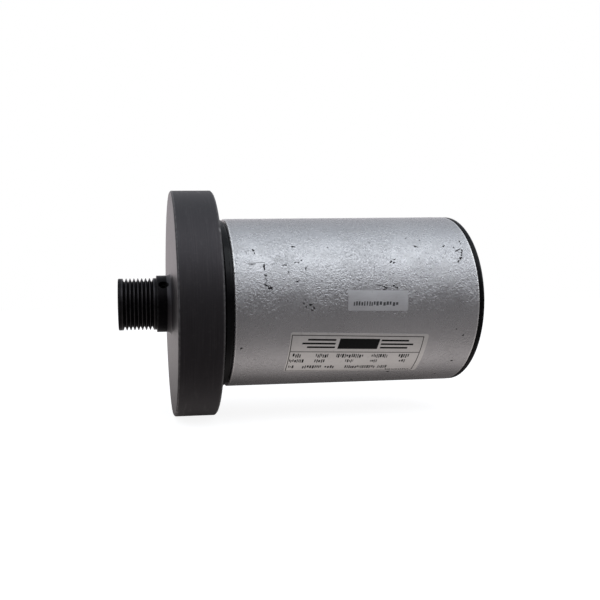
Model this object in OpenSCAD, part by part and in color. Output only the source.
// Permanent-magnet DC motor with a cast flywheel and ribbed belt pulley.
// Millimetres. The origin is on the shaft axis, in the middle plane of the belt grooves.
// +X runs along the shaft towards the rear end shield, +Z is up, and the name plate faces -Y.

/* [Belt pulley] */
// Number of V grooves in the ribbed pulley
groove_count = 8; // [4:1:8]
// Distance from one groove to the next
groove_pitch = 2.34; // [2.30:0.01:2.34]
// Depth of a groove below the crown
groove_depth = 1.98; // [1.6:0.01:2.0]
// Diameter over the rib crowns
pulley_d = 31.4; // [30:0.2:33]
// Distance from the groove centre plane to the nose face
nose_reach = 12; // [11.5:0.1:14]

/* [Flywheel] */
// Diameter of the flywheel disc
flywheel_d = 136; // [120:1:150]
// Thickness of the flywheel disc
flywheel_w = 24.5; // [18:0.5:28]
// Distance from the groove centre plane to the disc's front face
flywheel_face = 19.8; // [19:0.1:24]
// Diameter of the plain hub between the grooves and the disc
hub_d = 34.4; // [33:0.2:40]
// Air gap between the flywheel and the front shield
flywheel_gap = 2.2; // [1.5:0.1:4]
// Angle of the hub's screw above the horizontal, on the name plate's side
set_screw_angle = 41; // [0:1:90]

/* [Can and shields] */
// Outside diameter of the steel can
can_d = 102; // [102:0.5:106]
// Length of the steel can
can_len = 138.6;  // [134:0.05:150]
// Wall of the steel can
can_wall = 5.8; // [5:0.1:6]
// Width of the front shield's visible rim, with its groove
front_rim = 5.15; // [4.5:0.05:6]
// Width of the rear shield's visible rim
rear_rim = 3.0; // [2.5:0.1:4]

/* [Mounting] */
// Distance between the two tapped mounting holes
mount_pitch = 88.9; // [60:0.1:95]
// Tapping diameter of the mounting holes
mount_tap_d = 6.8; // [5:0.1:6.8]

/* [Armature] */
// Diameter of the laminated core
core_d = 69; // [68:0.1:69.2]
// Length of the laminated core
core_len = 70; // [60:1:72]
// Number of slots in the core
slot_count = 16; // [12:1:16]
// Number of copper commutator bars
bar_count = 32; // [24:1:32]
// Diameter of the commutator
comm_d = 36; // [35:0.5:36]

/* [Magnets and brushes] */
// Angle that each magnet covers
magnet_arc = 130; // [120:1:132]
// Thickness of each magnet
magnet_t = 10; // [8:0.5:10]
// Brush size along the shaft
brush_x = 11; // [9:0.5:11]
// Brush size across the shaft
brush_y = 8; // [6:0.5:8]
// Brush length
brush_z = 18; // [16:0.5:19]

/* [Plates] */
// Length of the name plate
plate_len = 79.5; // [60:0.5:90]
// Height of the name plate, straight across
plate_h = 28.6; // [20:0.1:30]
// Length of the small label
label_len = 34.2; // [20:0.2:40]
// Height of the small label
label_h = 11.2; // [8:0.2:14]

/* [Hidden] */
$fn = 96;

// stations along the shaft
x_disc_rear = flywheel_face + flywheel_w;
x_front = x_disc_rear + flywheel_gap;  // front shield's outer face
x_can0 = x_front + front_rim;          // can's front edge
x_can1 = x_can0 + can_len;             // can's rear edge
x_rear = x_can1 + rear_rim;            // rear rim's outer face
x_fbrg = x_front + 2;                  // front bearing's front face
x_rbrg = x_can1 - 5.8;                 // rear bearing's front face
x_boss = x_rbrg + 14;                  // rear boss's outer face
x_magnet = x_can0 + 22.35;
magnet_overhang = 4;                   // magnet beyond each end of the core
magnet_len = core_len + 2 * magnet_overhang;
x_core0 = x_magnet + magnet_overhang;  // laminated core
x_core1 = x_core0 + core_len;
x_comm1 = x_can1 - 12.8;               // commutator's rear end
x_riser = x_comm1 - 17;                // commutator's riser face
x_brush = x_comm1 - 7.5;               // brush centre plane
x_card = x_comm1 - 1;                  // brush card's front face
card_t = 2;

// radii
can_r = can_d / 2;
bore_r = can_r - can_wall;             // inside of the can
spigot_r = bore_r - 0.03;              // shields' spigots
comm_r = comm_d / 2;
bolt_r = 40.5;                         // pitch radius of the two through bolts
bolt_angle = 15;                       // their angle from the +Y direction
post_r = 30;                           // pitch radius of the brush card's posts

// bearings: [front face, bore, outside diameter, width, ball radius, number of balls]
FRONT_BRG = [x_fbrg, 17, 40, 12, 3.37, 8];
REAR_BRG = [x_rbrg, 12, 32, 10, 2.98, 7];
function inner_r(brg) = brg[1] / 2;
function outer_r(brg) = brg[2] / 2;
function width(brg) = brg[3];
function ball_r(brg) = brg[4];
function pitch_r(brg) = (brg[1] + brg[2]) / 4;

// ---------- placing and drawing helpers ----------
// local x, y, z -> Y, Z, X: a solid drawn up the z axis runs along the shaft,
// and angles count from +Y towards +Z
module shaftwise(x = 0) { translate([x, 0, 0]) rotate([90, 0, 90]) children(); }
module at_polar(angle, r) { rotate([0, 0, angle]) translate([r, 0, 0]) children(); }
module at_pair(x, angle, r) {
  for (turn = [0, 180]) shaftwise(x) at_polar(angle + turn, r) children();
}
module at_bolts(x = 0) { at_pair(x, bolt_angle, bolt_r) children(); }
module at_posts(x) { at_pair(x, 45, post_r) children(); }

module rod(x, r, w) { shaftwise(x) cylinder(r = r, h = w); }
// r0, r1: inner and outer radius
module ring(x, r0, r1, w) {
  shaftwise(x) difference() {
    cylinder(r = r1, h = w);
    translate([0, 0, -1]) cylinder(r = r0, h = w + 2);
  }
}
// plane profile with points [radius, distance behind x] turned about the shaft
module turned(pts, x = 0) { shaftwise(x) rotate_extrude() polygon(pts); }
// rectangle of the given thickness (radial) and width, swept from angle 0
module arc_bar(angle, r, thick, w) {
  rotate_extrude(angle = angle) translate([r, 0]) square([thick, w]);
}
// box centred on the local z axis, with its bottom at z
module box(size, z = 0) { translate([-size[0] / 2, -size[1] / 2, z]) cube(size); }
// radial bars from radius r0; size: radial length, width, length along the shaft
module ribs(x, angles, r0, size) {
  for (a = angles) shaftwise(x) rotate([0, 0, a]) translate([r0, -size[1] / 2, 0]) cube(size);
}

// ---------- can and shields ----------
brg_seat_play = 0.02;                  // radial play round both outer races
circlip_play = 0.05;
circlip_groove_w = 1.85;
bolt_sink = 2.4;                       // depth of the counterbores under the bolt heads
bolt_pad_r = 7;
grommet_y = 30;                        // centre of the lead grommet
grommet_z = -11;
module at_grommet() { translate([0, grommet_y, grommet_z]) children(); }

module housing_can() {
  chamfer = 0.5;
  color([0.64, 0.65, 0.67]) difference() {
    turned([[bore_r, x_can0], [can_r - chamfer, x_can0], [can_r, x_can0 + chamfer],
            [can_r, x_can1 - chamfer], [can_r - chamfer, x_can1], [bore_r, x_can1]]);
    // tapped mounting holes on the +Y side
    for (side = [-1, 1])
      translate([(x_can0 + x_can1) / 2 + side * mount_pitch / 2, bore_r - 5, 0])
        rotate([-90, 0, 0]) cylinder(d = mount_tap_d, h = can_wall + 10);
  }
}

module front_end_shield() {
  color([0.06, 0.06, 0.07]) difference() {
    union() {
      // rim with a rounded nose, the groove beside the can, and the plate
      turned([[12.5, x_front], [can_r - 1.3, x_front], [can_r - 0.6, x_front + 0.35],
              [can_r - 0.3, x_front + 1.0], [can_r - 0.3, x_can0 - 1.9],
              [can_r - 0.6, x_can0 - 1.55], [can_r - 2, x_can0 - 1.55], [can_r - 2, x_can0],
              [spigot_r, x_can0], [spigot_r, x_can0 + 6], [37, x_can0 + 6], [36, x_can0],
              [25, x_can0 + 0.1], [24.5, x_fbrg + 15], [12.5, x_fbrg + 15]]);
      // stiffening ribs between the bearing seat and the spigot
      ribs(x_can0 - 1, [45:60:345], r0 = 24, size = [13.5, 3, 6.5]);
    }
    // bearing seat, shaft opening and circlip groove
    rod(x_fbrg, outer_r(FRONT_BRG) + brg_seat_play, 20);
    rod(x_front - 1, 10.5, 10);
    ring(x_fbrg + width(FRONT_BRG) + circlip_play, 20, 21.05, circlip_groove_w);
    // bolt holes, blind from the rear
    at_bolts(x_can0 - 2.5) cylinder(r = 2.55, h = 20);
  }
}

module rear_end_shield() {
  color([0.06, 0.06, 0.07]) difference() {
    union() {
      // plate, spigot, rounded rim and boss
      turned([[0, x_can1 - 1.2], [38, x_can1 - 1.2], [39, x_can1 - 6], [spigot_r, x_can1 - 6],
              [spigot_r, x_can1], [can_r - 0.3, x_can1], [can_r - 0.1, x_can1 + 0.6],
              [can_r - 0.1, x_rear - 1.1], [can_r - 0.5, x_rear - 0.35],
              [can_r - 1.3, x_rear], [23.4, x_rear], [22.5, x_rear + 0.9],
              [22, x_boss - 1], [21, x_boss], [0, x_boss]]);
      // bearing seat wall
      rod(x_rbrg - 0.6, 20.5, 8);
      // posts for the brush card
      at_posts(x_card + card_t) cylinder(r = 4, h = x_can1 - x_card - card_t);
      ribs(x_can1 - 5, [90, 135, 270, 315], r0 = 20, size = [19, 2.5, 5]);
      // bolt pads, trimmed to the spigot
      intersection() {
        at_bolts(x_can1 - 3.4) cylinder(r = bolt_pad_r, h = 4);
        rod(x_can1 - 3.4, spigot_r, 4);
      }
    }
    // bearing seat, closed at the rear
    rod(x_rbrg - 2, outer_r(REAR_BRG) + brg_seat_play, 13.2);
    // cast pocket round the boss, broken by ribs, bolt pads and the lead pad
    difference() {
      turned([[25.2, -1.7], [44.6, -1.7], [45.4, 0.1], [45.4, 2], [24.4, 2], [24.4, 0.1]],
             x_rear);
      at_bolts(x_rear - 3) cylinder(r = bolt_pad_r, h = 6);
      at_grommet() rod(x_rear - 3, 10.4, 6);
      ribs(x_rear - 3, [60, 105, 150, 240, 285], r0 = 20, size = [28, 2.8, 6]);
    }
    // dished end of the boss
    rod(x_boss - 0.7, 13, 3);
    // bolt holes and their counterbores
    at_bolts(x_can1 - 8) cylinder(r = 2.75, h = 20);
    at_bolts(x_rear - bolt_sink) cylinder(r = 5.5, h = 8);
    // card screw holes
    at_posts(x_card) cylinder(r = 2.05, h = 11);
    // lead opening, with room for the grommet's inner flange
    at_grommet() rod(x_can1 - 10, 6.6, 30);
    at_grommet() rod(x_can1 - 7, 8.8, 5.8);
  }
}

// ---------- magnets ----------
module magnet() {
  color([0.22, 0.22, 0.23]) shaftwise(x_magnet) rotate([0, 0, 90 - magnet_arc / 2])
    arc_bar(magnet_arc, bore_r - 0.02 - magnet_t, magnet_t, magnet_len);
}
module magnet_upper() { magnet(); }
module magnet_lower() { mirror([0, 0, 1]) magnet(); }

// bowed spring clips that hold the magnets apart against the can
module magnet_clips() {
  half_gap = 90 - magnet_arc / 2;
  clip_w = 10;
  color([0.7, 0.7, 0.72])
    for (side = [0, 180]) for (along = [24, magnet_len - 34]) shaftwise(x_magnet + along) {
      // band against the can
      rotate([0, 0, side - half_gap + 0.8])
        arc_bar(2 * half_gap - 1.6, bore_r - 1.05, 1, clip_w);
      // leg beside each magnet
      for (start = [-half_gap + 0.1, half_gap - 1.4]) rotate([0, 0, side + start])
        arc_bar(1.3, bore_r - 5.5, 5.4, clip_w);
    }
}

// ---------- through bolts ----------
washer_t = 1.2;
x_bolt_head = x_rear - bolt_sink + washer_t;

module through_bolts() {
  x_tip = x_can0 - 1.5;
  color([0.72, 0.72, 0.7]) at_bolts() {
    translate([0, 0, x_tip]) cylinder(r = 2.5, h = x_bolt_head + 0.5 - x_tip);
    translate([0, 0, x_bolt_head]) cylinder(r = 4.62, h = 3.3, $fn = 6);
    translate([0, 0, x_bolt_head + 3.2]) cylinder(r = 3.6, h = 0.4);
  }
}
module bolt_lock_washers() {
  color([0.6, 0.6, 0.6]) at_bolts(x_rear - bolt_sink) difference() {
    cylinder(r = 4.6, h = washer_t);
    translate([0, 0, -1]) cylinder(r = 2.6, h = 4);
    // split
    rotate([0, 0, 200]) translate([2, -0.35, -1]) cube([4, 0.7, 4]);
  }
}

// ---------- ball bearings ----------
shoulder = 0.8;                        // race shoulder off the pitch circle, in ball radii
race_play = 0.03;                      // between a ball and its raceway
seal_inset = 0.5;                      // seal groove behind the bearing's face
seal_groove_w = 0.8;
seal_play = 0.02;                      // on each side of a seal in its groove
race_steel = [0.75, 0.76, 0.78];
ball_steel = [0.85, 0.86, 0.88];
cage_brass = [0.72, 0.6, 0.35];
seal_black = [0.08, 0.08, 0.08];

module raceway(brg) {
  shaftwise(brg[0] + width(brg) / 2) rotate_extrude()
    translate([pitch_r(brg), 0]) circle(r = ball_r(brg) + race_play);
}
module outer_race(brg) {
  shoulder_r = pitch_r(brg) + ball_r(brg) * shoulder;
  color(race_steel) difference() {
    ring(brg[0], shoulder_r, outer_r(brg), width(brg));
    raceway(brg);
    for (x = [seal_inset, width(brg) - seal_inset - seal_groove_w])
      ring(brg[0] + x, pitch_r(brg), shoulder_r + 0.5, seal_groove_w);
  }
}
module inner_race(brg) {
  color(race_steel) difference() {
    ring(brg[0], inner_r(brg) + 0.01, pitch_r(brg) - ball_r(brg) * shoulder, width(brg));
    raceway(brg);
  }
}
module at_balls(brg, r) {
  for (i = [0:brg[5] - 1])
    shaftwise(brg[0] + width(brg) / 2) at_polar(i * 360 / brg[5], r) children();
}
module balls(brg) { color(ball_steel) at_balls(brg, pitch_r(brg)) sphere(r = ball_r(brg)); }
module cage(brg) {
  half_w = min(ball_r(brg) + 0.95, width(brg) / 2 - 1.4);
  half_t = ball_r(brg) * 0.32;
  color(cage_brass) difference() {
    ring(brg[0] + width(brg) / 2 - half_w, pitch_r(brg) - half_t, pitch_r(brg) + half_t,
         2 * half_w);
    at_balls(brg, pitch_r(brg) - ball_r(brg)) rotate([0, 90, 0])
      cylinder(r = ball_r(brg) + 0.08, h = 2 * ball_r(brg));
  }
}
module seals(brg) {
  reach = ball_r(brg) * shoulder;
  color(seal_black) for (x = [seal_inset, width(brg) - seal_inset - seal_groove_w])
    ring(brg[0] + x + seal_play, pitch_r(brg) - reach + 0.08, pitch_r(brg) + reach + 0.45,
         seal_groove_w - 2 * seal_play);
}
module front_bearing_outer_race() { outer_race(FRONT_BRG); }
module front_bearing_inner_race() { inner_race(FRONT_BRG); }
module front_bearing_balls() { balls(FRONT_BRG); }
module front_bearing_cage() { cage(FRONT_BRG); }
module front_bearing_seals() { seals(FRONT_BRG); }
module rear_bearing_outer_race() { outer_race(REAR_BRG); }
module rear_bearing_inner_race() { inner_race(REAR_BRG); }
module rear_bearing_balls() { balls(REAR_BRG); }
module rear_bearing_cage() { cage(REAR_BRG); }
module rear_bearing_seals() { seals(REAR_BRG); }

// internal snap ring behind the front bearing, with two eyes
module bearing_circlip() {
  thick = circlip_groove_w - 0.1;
  color([0.35, 0.35, 0.37]) shaftwise(x_fbrg + width(FRONT_BRG) + 0.08) union() {
    rotate([0, 0, 290]) arc_bar(320, 18.1, 2.85, thick);
    for (a = [286.5, 253.5]) at_polar(a, 17.1) difference() {
      cylinder(r = 2.1, h = thick);
      translate([0, 0, -1]) cylinder(r = 0.9, h = 4);
    }
  }
}
// dished spring washer that loads the rear bearing
module preload_washer() {
  color([0.6, 0.6, 0.62])
    turned([[12.9, 0.02], [13.4, 0.02], [15.6, 0.7], [15.6, 1.15], [15.1, 1.15], [12.9, 0.5]],
           x_rbrg + width(REAR_BRG));
}

// ---------- shaft, pulley and flywheel ----------
x_shaft0 = -9;                         // shaft's front end
shaft_nose_r = 7.48;                   // shaft inside the pulley and flywheel
pulley_bore_r = 7.52;
shaft_core_r = 10;                     // shaft inside the core
flat_r = 6.7;                          // flat under the set screw, off the axis

// turns -Y to the set screw's direction
module screw_side() { rotate([-set_screw_angle, 0, 0]) children(); }
// local z runs out along the set screw
module at_set_screw() {
  screw_side() translate([flywheel_face - 4.9, 0, 0]) rotate([90, 0, 0]) children();
}

module motor_shaft() {
  front_r = inner_r(FRONT_BRG);
  rear_r = inner_r(REAR_BRG);
  color([0.7, 0.71, 0.73]) difference() {
    turned([[0, x_shaft0], [6.7, x_shaft0], [shaft_nose_r, x_shaft0 + 0.8],
            [shaft_nose_r, x_disc_rear], [front_r, x_disc_rear],
            [front_r, x_fbrg + 12], [shaft_core_r, x_fbrg + 12],
            [shaft_core_r, x_core1 + 6], [8.5, x_core1 + 6], [8.5, x_comm1 + 1.5],
            [7.2, x_comm1 + 1.5], [7.2, x_rbrg], [rear_r, x_rbrg],
            [rear_r, x_rbrg + 9.7], [rear_r - 0.5, x_rbrg + 10.2], [0, x_rbrg + 10.2]]);
    // flat under the set screw
    screw_side() translate([9, -12, -8]) cube([12.5, 12 - flat_r, 16]);
    // centre drilling in the front end
    turned([[0, -1], [3.6, -1], [3, 0], [1.6, 2.4], [1.6, 6], [0, 6.9]], x_shaft0);
  }
}

// ribbed pulley, hub and flywheel in one casting
module flywheel_pulley() {
  crown_r = pulley_d / 2;
  hub_r = hub_d / 2;
  disc_r = flywheel_d / 2;
  half_belt = groove_count * groove_pitch / 2;
  floor_half = 0.2;                    // half a groove's width at its floor
  crown_half = floor_half + groove_depth * tan(20);
  chamfer = 0.8;
  fillet = 2.4;
  color([0.13, 0.13, 0.14]) difference() {
    shaftwise() rotate_extrude() difference() {
      union() {
        polygon([[pulley_bore_r, -nose_reach], [crown_r - 0.5, -nose_reach],
                 [crown_r, -nose_reach + 0.5], [crown_r, half_belt + 1.7],
                 [hub_r - 0.3, half_belt + 1.7], [hub_r, half_belt + 2],
                 [hub_r, flywheel_face], [disc_r - chamfer, flywheel_face],
                 [disc_r, flywheel_face + chamfer], [disc_r, x_disc_rear - chamfer],
                 [disc_r - chamfer, x_disc_rear], [pulley_bore_r, x_disc_rear]]);
        // fillet between hub and disc
        difference() {
          translate([hub_r - 0.1, flywheel_face - fillet]) square([fillet + 0.1, fillet + 0.1]);
          translate([hub_r + fillet, flywheel_face - fillet]) circle(r = fillet);
        }
      }
      for (i = [0:groove_count - 1])
        translate([crown_r, -half_belt + (i + 0.5) * groove_pitch])
          polygon([[0.2, -crown_half - 0.07], [0.2, crown_half + 0.07],
                   [-groove_depth, floor_half], [-groove_depth, -floor_half]]);
      // shallow relief turned in the rear face
      translate([26, x_disc_rear - 1.2]) square([32, 3]);
    }
    // tapped hole for the set screw
    at_set_screw() translate([0, 0, 3]) cylinder(r = 2.55, h = 20);
  }
}
module flywheel_set_screw() {
  color([0.12, 0.12, 0.12]) at_set_screw() difference() {
    union() {
      translate([0, 0, flat_r]) cylinder(r = 1.7, h = 0.9);
      translate([0, 0, 7.5]) cylinder(r = 2.5, h = 7.2);
    }
    // hexagon socket
    translate([0, 0, 11.7]) cylinder(r = 1.44, h = 4, $fn = 6);
  }
}

// ---------- armature ----------
core_r = core_d / 2;
slot_floor_r = 19;
slot_top_r = 31;
slot_floor_half = 2.1;                 // half the slot's width at its floor and top
slot_top_half = 3.8;
end_sheet_t = 0.8;                     // insulating sheet on each end of the core
sheet_tan = [0.85, 0.8, 0.62];

function slot_half(r) = slot_floor_half
  + (slot_top_half - slot_floor_half) * (r - slot_floor_r) / (slot_top_r - slot_floor_r);
// the slot's section between two radii, narrowed by inset on each flank
module slot_zone(r0, r1, inset) {
  half0 = slot_half(r0) - inset;
  half1 = slot_half(r1) - inset;
  polygon([[r0, -half0], [r1, -half1], [r1, half1], [r0, half0]]);
}
module each_slot() {
  for (i = [0:slot_count - 1]) rotate([0, 0, (i + 0.5) * 360 / slot_count]) children();
}
module slotted_disc(r, hole_r) {
  difference() {
    circle(r = r);
    circle(r = hole_r);
    each_slot() union() {
      slot_zone(slot_floor_r, slot_top_r, 0);
      translate([30, -1.2]) square([6, 2.4]);
    }
  }
}
// extrudes a section through the core and past both its ends
module through_core(past) {
  shaftwise(x_core0 - past) linear_extrude(core_len + 2 * past) children();
}

module armature_core() {
  color([0.45, 0.45, 0.47]) through_core(0) slotted_disc(core_r, shaft_core_r + 0.02);
}
module end_insulator(x) {
  color(sheet_tan) shaftwise(x) linear_extrude(end_sheet_t)
    slotted_disc(core_r - 0.6, shaft_core_r + 0.05);
}
module front_end_insulator() { end_insulator(x_core0 - end_sheet_t); }
module rear_end_insulator() { end_insulator(x_core1); }
module slot_liners() {
  color([0.88, 0.84, 0.7]) through_core(end_sheet_t) each_slot() difference() {
    slot_zone(19.03, 29.8, 0.03);
    slot_zone(19.3, 30, 0.3);
  }
}
module slot_wedges() {
  color([0.75, 0.55, 0.3]) through_core(end_sheet_t) each_slot() slot_zone(29.85, 30.9, 0.06);
}
module armature_winding() {
  sheet_gap = end_sheet_t + 0.05;
  color([0.72, 0.36, 0.16]) union() {
    through_core(4) each_slot() slot_zone(19.34, 29.6, 0.34);
    // end turns at the front
    turned([[12.5, -sheet_gap], [12.5, -9], [15, -12], [20, -13.5], [25, -13], [29, -10],
            [31, -6], [31, -2.5], [30, -sheet_gap]], x_core0);
    // end turns at the rear, running down to the commutator's risers
    turned([[12.5, x_core1 + sheet_gap], [30, x_core1 + sheet_gap], [31, x_core1 + 2.5],
            [30.5, x_core1 + 5], [27, x_core1 + 8.5], [22.5, x_core1 + 10.4],
            [20, x_riser - 0.05], [14.5, x_riser - 0.05], [12.5, x_core1 + 8]]);
  }
}
module commutator_bars() {
  gap = 1.2;                           // degrees between bars
  riser_r = 20.3;
  x_step = x_riser + 2.4;
  color([0.8, 0.45, 0.25]) shaftwise() for (i = [0:bar_count - 1])
    rotate([0, 0, i * 360 / bar_count + gap / 2]) rotate_extrude(angle = 360 / bar_count - gap)
      polygon([[13.5, x_riser], [riser_r, x_riser], [riser_r, x_step], [comm_r, x_step],
               [comm_r, x_comm1 - 0.5], [comm_r - 0.5, x_comm1], [13.5, x_comm1]]);
}
module commutator_core() {
  color([0.25, 0.13, 0.08])
    turned([[8.52, x_riser], [13.48, x_riser], [13.48, x_comm1], [12.8, x_comm1 + 1],
            [8.52, x_comm1 + 1]]);
}

// ---------- brush gear ----------
holder_z0 = comm_r + 2;
holder_z1 = 42;
holder_play = 0.05;                    // brush clearance in its holder
holder_x = 2 * (x_card - x_brush);     // holder's outside, reaching the card
holder_y = brush_y + 2 * (holder_play + 0.8);
brass = [0.8, 0.66, 0.35];
module at_brush() { translate([x_brush, 0, 0]) children(); }

module brush_card() {
  color([0.45, 0.28, 0.12]) difference() {
    ring(x_card, comm_r + 2.5, bore_r - 0.5, card_t);
    at_bolts(x_card - 1) cylinder(r = 3.2, h = 5);
    at_posts(x_card - 1) cylinder(r = 2.1, h = 5);
  }
}
module brush_card_screws() {
  color([0.75, 0.72, 0.6]) at_posts(x_card) difference() {
    union() {
      translate([0, 0, -2]) cylinder(r = 3.5, h = 2);
      translate([0, 0, -0.1]) cylinder(r = 2, h = 10);
    }
    // cross slot
    box([0.8, 8, 1.3], -2.5);
    box([8, 0.8, 1.3], -2.5);
  }
}
module brush_holder() {
  color(brass) at_brush() difference() {
    box([holder_x, holder_y, holder_z1 - holder_z0], holder_z0);
    box([brush_x + 2 * holder_play, brush_y + 2 * holder_play, 40], holder_z0 - 1);
  }
}
module brush_holder_upper() { brush_holder(); }
module brush_holder_lower() { mirror([0, 0, 1]) brush_holder(); }
module carbon_brush() {
  color([0.16, 0.16, 0.17]) difference() {
    at_brush() box([brush_x, brush_y, brush_z + 1], comm_r - 1);
    // face worn to the commutator, and a dimple in the outer end
    rod(x_brush - 20, comm_r + 0.04, 40);
    translate([x_brush, 0, comm_r + brush_z - 1]) cylinder(r = 1.2, h = 3);
  }
}
module carbon_brush_upper() { carbon_brush(); }
module carbon_brush_lower() { mirror([0, 0, 1]) carbon_brush(); }

// round wire wound on a helix about the z axis, from z0 to z1
module coil_spring(coil_r, wire_r, turns, z0, z1) {
  steps = turns * 20;
  sides = 8;
  points = [for (i = [0:steps]) for (j = [0:sides - 1])
            let (turn = 360 * turns * i / steps, around = j * 360 / sides,
                 r = coil_r + wire_r * cos(around))
            [r * cos(turn), r * sin(turn),
             z0 + (z1 - z0) * i / steps + wire_r * sin(around)]];
  skin = [for (i = [0:steps - 1]) for (j = [0:sides - 1])
          let (here = i * sides, ahead = here + sides, next = (j + 1) % sides)
          [here + j, here + next, ahead + next, ahead + j]];
  start_cap = [for (j = [0:sides - 1]) sides - 1 - j];
  end_cap = [for (j = [0:sides - 1]) steps * sides + j];
  polyhedron(points = points, faces = concat([start_cap], [end_cap], skin), convexity = 6);
}
module brush_spring() {
  color([0.8, 0.8, 0.78]) at_brush()
    coil_spring(coil_r = 2.9, wire_r = 0.35, turns = 5,
                z0 = comm_r + brush_z + 0.4, z1 = holder_z1 - 0.4);
}
module brush_spring_upper() { brush_spring(); }
module brush_spring_lower() { mirror([0, 0, 1]) brush_spring(); }
module brush_end_caps() {
  color(brass) for (flip = [0, 1]) mirror([0, 0, flip])
    at_brush() box([holder_x, holder_y, 0.8], holder_z1);
}
// arc of wire in front of the card, with a round pad at its start
module jumper(start, end) {
  arc_r = 36;
  shaftwise(x_card - 1.05) rotate([0, 0, start]) rotate_extrude(angle = end - start)
    translate([arc_r, 0]) circle(r = 1);
  shaftwise(x_card - 2.2) at_polar(start, arc_r) cylinder(r = 1.7, h = 2.2);
}
module brush_jumpers() {
  color([0.75, 0.4, 0.2]) {
    jumper(-12, 81.5);
    mirror([0, 0, 1]) jumper(28, 81.5);
  }
}
module thermal_protector() {
  color([0.1, 0.1, 0.1]) shaftwise(x_card - 5) rotate([0, 0, 150]) translate([26, -8, 0])
    union() {
      cube([7, 16, 5]);
      translate([2, -2, 1.5]) cube([3, 20, 2]);
    }
}

// ---------- leads ----------
x_bend = x_boss + 1;                   // where the leads start to bend down
power_y = 1.9;                         // half the distance between the power leads
power_z = 1.1;                         // power leads above the grommet's centre
power_bend = 7;
power_len = 22;
power_fan = 17;                        // how far each power lead tilts outwards
thermal_y = 1.15;
thermal_z = -2.4;
thermal_bend = 3.4;
thermal_len = 16;

// out of the rear shield at [y, z] from the grommet's centre, round a bend and down;
// tilt swings the hanging part sideways
module lead(y, z, r, bend, tilt, len) {
  at_grommet() translate([0, y, z]) rotate([tilt, 0, 0]) union() {
    rod(x_card + card_t, r, x_bend - x_card - card_t);
    translate([x_bend, 0, -bend]) rotate([90, 0, 0]) rotate_extrude(angle = 90)
      translate([bend, 0]) circle(r = r);
    translate([x_bend + bend, 0, -bend - len]) cylinder(r = r, h = len);
  }
}
module power_lead(side) {
  lead(side * power_y, power_z, r = 1.6, bend = power_bend, tilt = side * power_fan,
       len = power_len);
}
module lead_red() { color([0.6, 0.05, 0.04]) power_lead(1); }
module lead_black() { color([0.05, 0.05, 0.05]) power_lead(-1); }
module thermal_leads() {
  color([0.1, 0.2, 0.5]) for (side = [-1, 1])
    lead(side * thermal_y, thermal_z, r = 0.9, bend = thermal_bend, tilt = 0,
         len = thermal_len);
}
module at_power_ends() {
  for (side = [-1, 1]) at_grommet() translate([0, side * power_y, power_z])
    rotate([side * power_fan, 0, 0])
      translate([x_bend + power_bend, 0, -power_bend - power_len]) children();
}
// female blade terminals: crimp barrel and rolled receptacle
module lead_terminals() {
  color([0.78, 0.68, 0.35]) at_power_ends() union() {
    difference() {
      translate([0, 0, -2.5]) cylinder(r = 2.1, h = 6);
      cylinder(r = 1.62, h = 6);
    }
    difference() {
      box([2.6, 7.4, 8.6], -11);
      box([0.9, 6.4, 7], -12);
    }
  }
}
module terminal_sleeves() {
  color([0.75, 0.1, 0.08]) at_power_ends() difference() {
    union() {
      translate([0, 0, -2.2]) cylinder(r = 2.9, h = 7.6);
      box([4.2, 9, 8.4], -10.4);
    }
    translate([0, 0, -3]) cylinder(r = 2.15, h = 12);
    box([2.7, 7.5, 9.65], -12);
  }
}
module thermal_connector() {
  color([0.88, 0.88, 0.84]) at_grommet()
    translate([x_bend + thermal_bend, 0, thermal_z - thermal_bend - thermal_len]) difference() {
      box([4.8, 6.8, 9], -9);
      for (side = [-1, 1]) translate([0, side * 1.7, 0]) box([2.4, 1.8, 7], -10);
    }
}
module lead_grommet() {
  x_inner = x_can1 - 2.6;
  color([0.05, 0.05, 0.05]) at_grommet() difference() {
    union() {
      rod(x_inner, 8.4, 1.35);
      rod(x_inner, 6.5, x_rear - x_can1 + 4);
      rod(x_rear + 0.05, 8.2, 1.8);
    }
    rod(x_can1 - 10, 5.2, 30);
  }
}

// ---------- plates on the can ----------
// angle: above the horizontal on the -Y side, skew: small turn about the radius
module foil(x, angle, len, height, thick, skew) {
  intersection() {
    ring(x - len, can_r + 0.005, can_r + thick, 2 * len);
    rotate([-angle, 0, 0]) translate([x, -can_r, 0]) rotate([0, skew, 0])
      translate([-len / 2, -10, -height / 2]) cube([len, 30, height]);
  }
}
module nameplate() {
  color([0.78, 0.78, 0.76])
    foil(x_can0 + 70.1, angle = -37.2, len = plate_len, height = plate_h, thick = 0.15,
         skew = 2.4);
}
module serial_label() {
  color([0.82, 0.83, 0.84])
    foil(x_can0 + 79.65, angle = -0.7, len = label_len, height = label_h, thick = 0.1,
         skew = 1.4);
}

housing_can();
front_end_shield();
rear_end_shield();
magnet_upper();
magnet_lower();
magnet_clips();
through_bolts();
bolt_lock_washers();
front_bearing_outer_race();
front_bearing_inner_race();
front_bearing_balls();
front_bearing_cage();
front_bearing_seals();
bearing_circlip();
rear_bearing_outer_race();
rear_bearing_inner_race();
rear_bearing_balls();
rear_bearing_cage();
rear_bearing_seals();
preload_washer();
motor_shaft();
flywheel_pulley();
flywheel_set_screw();
armature_core();
slot_liners();
slot_wedges();
front_end_insulator();
rear_end_insulator();
armature_winding();
commutator_bars();
commutator_core();
brush_card();
brush_card_screws();
brush_holder_upper();
brush_holder_lower();
carbon_brush_upper();
carbon_brush_lower();
brush_spring_upper();
brush_spring_lower();
brush_end_caps();
brush_jumpers();
thermal_protector();
lead_grommet();
lead_red();
lead_black();
thermal_leads();
lead_terminals();
terminal_sleeves();
thermal_connector();
nameplate();
serial_label();
